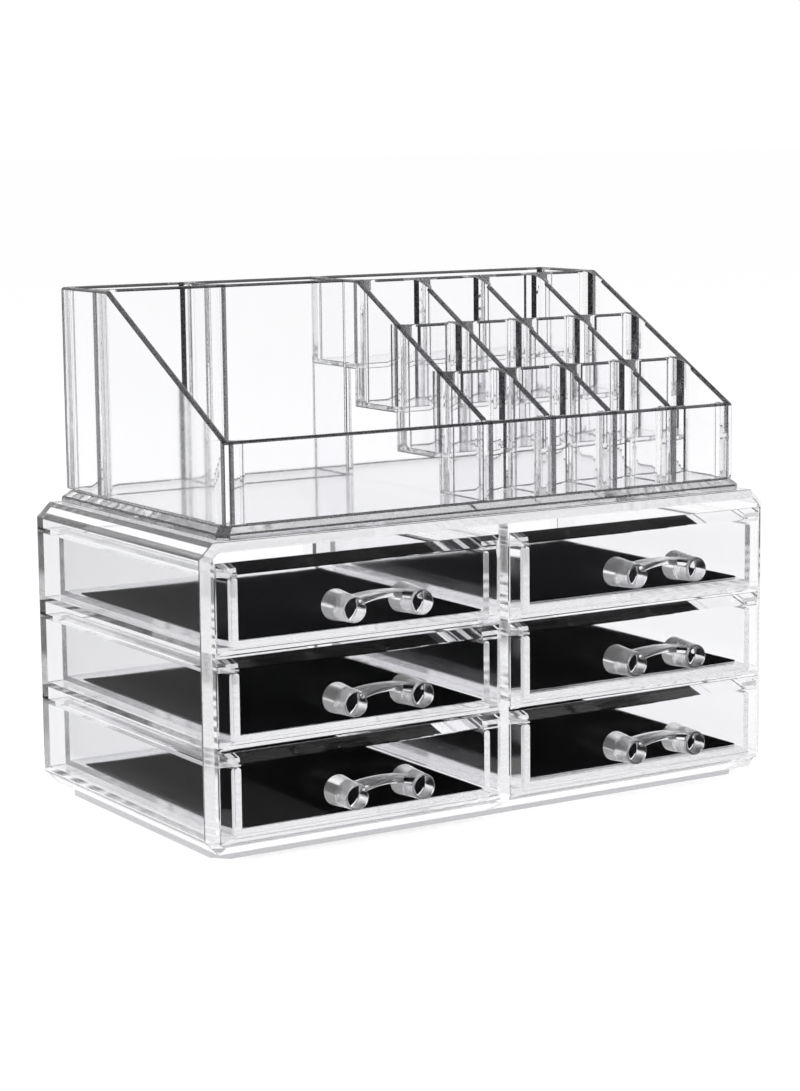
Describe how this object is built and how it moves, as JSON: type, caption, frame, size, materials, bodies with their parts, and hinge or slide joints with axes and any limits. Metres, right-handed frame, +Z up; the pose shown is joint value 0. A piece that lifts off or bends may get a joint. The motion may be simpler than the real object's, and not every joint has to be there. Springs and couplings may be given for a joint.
{
  "type": "drawer organizer",
  "caption": "Clear countertop organizer: a case with two columns of lined drawers on pulls, and a lift-off tray with an open section, back bays and a stepped lipstick rack.",
  "frame": {"origin": "the middle of the flat underside of the case's plinth", "axes": "+X to the right seen from the front, -Y out of the drawer fronts, +Z up"},
  "size_m": [0.239, 0.1484, 0.1882],
  "materials": {
    "clear_acrylic": "clear polished acrylic, gloss all over, with light fine scratches",
    "liner_felt": "black mesh cloth, matte"
  },
  "bodies": {
    "case": {"case_shell": "clear_acrylic", "case_plinth": "clear_acrylic", "case_divider": "clear_acrylic", "shelf_top_left": "clear_acrylic", "shelf_top_right": "clear_acrylic", "shelf_middle_left": "clear_acrylic", "shelf_middle_right": "clear_acrylic", "shelf_bottom_left": "clear_acrylic", "shelf_bottom_right": "clear_acrylic", "guide_rails_left": "clear_acrylic", "guide_rails_right": "clear_acrylic"},
    "drawer_body_top_left": {"drawer_top_left": "clear_acrylic", "liner_top_left": "liner_felt", "pull_top_left": "clear_acrylic"},
    "drawer_body_top_right": {"drawer_top_right": "clear_acrylic", "liner_top_right": "liner_felt", "pull_top_right": "clear_acrylic"},
    "drawer_body_middle_left": {"drawer_middle_left": "clear_acrylic", "liner_middle_left": "liner_felt", "pull_middle_left": "clear_acrylic"},
    "drawer_body_middle_right": {"drawer_middle_right": "clear_acrylic", "liner_middle_right": "liner_felt", "pull_middle_right": "clear_acrylic"},
    "drawer_body_bottom_left": {"drawer_bottom_left": "clear_acrylic", "liner_bottom_left": "liner_felt", "pull_bottom_left": "clear_acrylic"},
    "drawer_body_bottom_right": {"drawer_bottom_right": "clear_acrylic", "liner_bottom_right": "liner_felt", "pull_bottom_right": "clear_acrylic"},
    "tray": {"tray_base": "clear_acrylic", "tray_left_wall": "clear_acrylic", "tray_right_wall": "clear_acrylic", "tray_back_wall": "clear_acrylic", "tray_front_wall": "clear_acrylic", "bay_partition": "clear_acrylic", "bay_divider": "clear_acrylic", "rack_left_wall": "clear_acrylic", "rack_divider_1": "clear_acrylic", "rack_divider_2": "clear_acrylic", "rack_divider_3": "clear_acrylic", "rack_back_wall": "clear_acrylic", "rack_row_rear": "clear_acrylic", "rack_row_front": "clear_acrylic", "rack_floor_middle": "clear_acrylic", "rack_floor_rear": "clear_acrylic", "rack_floor_high": "clear_acrylic"}
  },
  "joints": [
    {"name": "slide_top_left", "type": "slide", "parent": "case", "child": "drawer_body_top_left", "axis": [0, -1, 0], "range_m": [0, 0.1]},
    {"name": "slide_top_right", "type": "slide", "parent": "case", "child": "drawer_body_top_right", "axis": [0, -1, 0], "range_m": [0, 0.1]},
    {"name": "slide_middle_left", "type": "slide", "parent": "case", "child": "drawer_body_middle_left", "axis": [0, -1, 0], "range_m": [0, 0.1]},
    {"name": "slide_middle_right", "type": "slide", "parent": "case", "child": "drawer_body_middle_right", "axis": [0, -1, 0], "range_m": [0, 0.1]},
    {"name": "slide_bottom_left", "type": "slide", "parent": "case", "child": "drawer_body_bottom_left", "axis": [0, -1, 0], "range_m": [0, 0.1]},
    {"name": "slide_bottom_right", "type": "slide", "parent": "case", "child": "drawer_body_bottom_right", "axis": [0, -1, 0], "range_m": [0, 0.1]},
    {"name": "tray_lift", "type": "slide", "parent": "case", "child": "tray", "axis": [0, 0, 1], "range_m": [0, 0.15]}
  ]
}
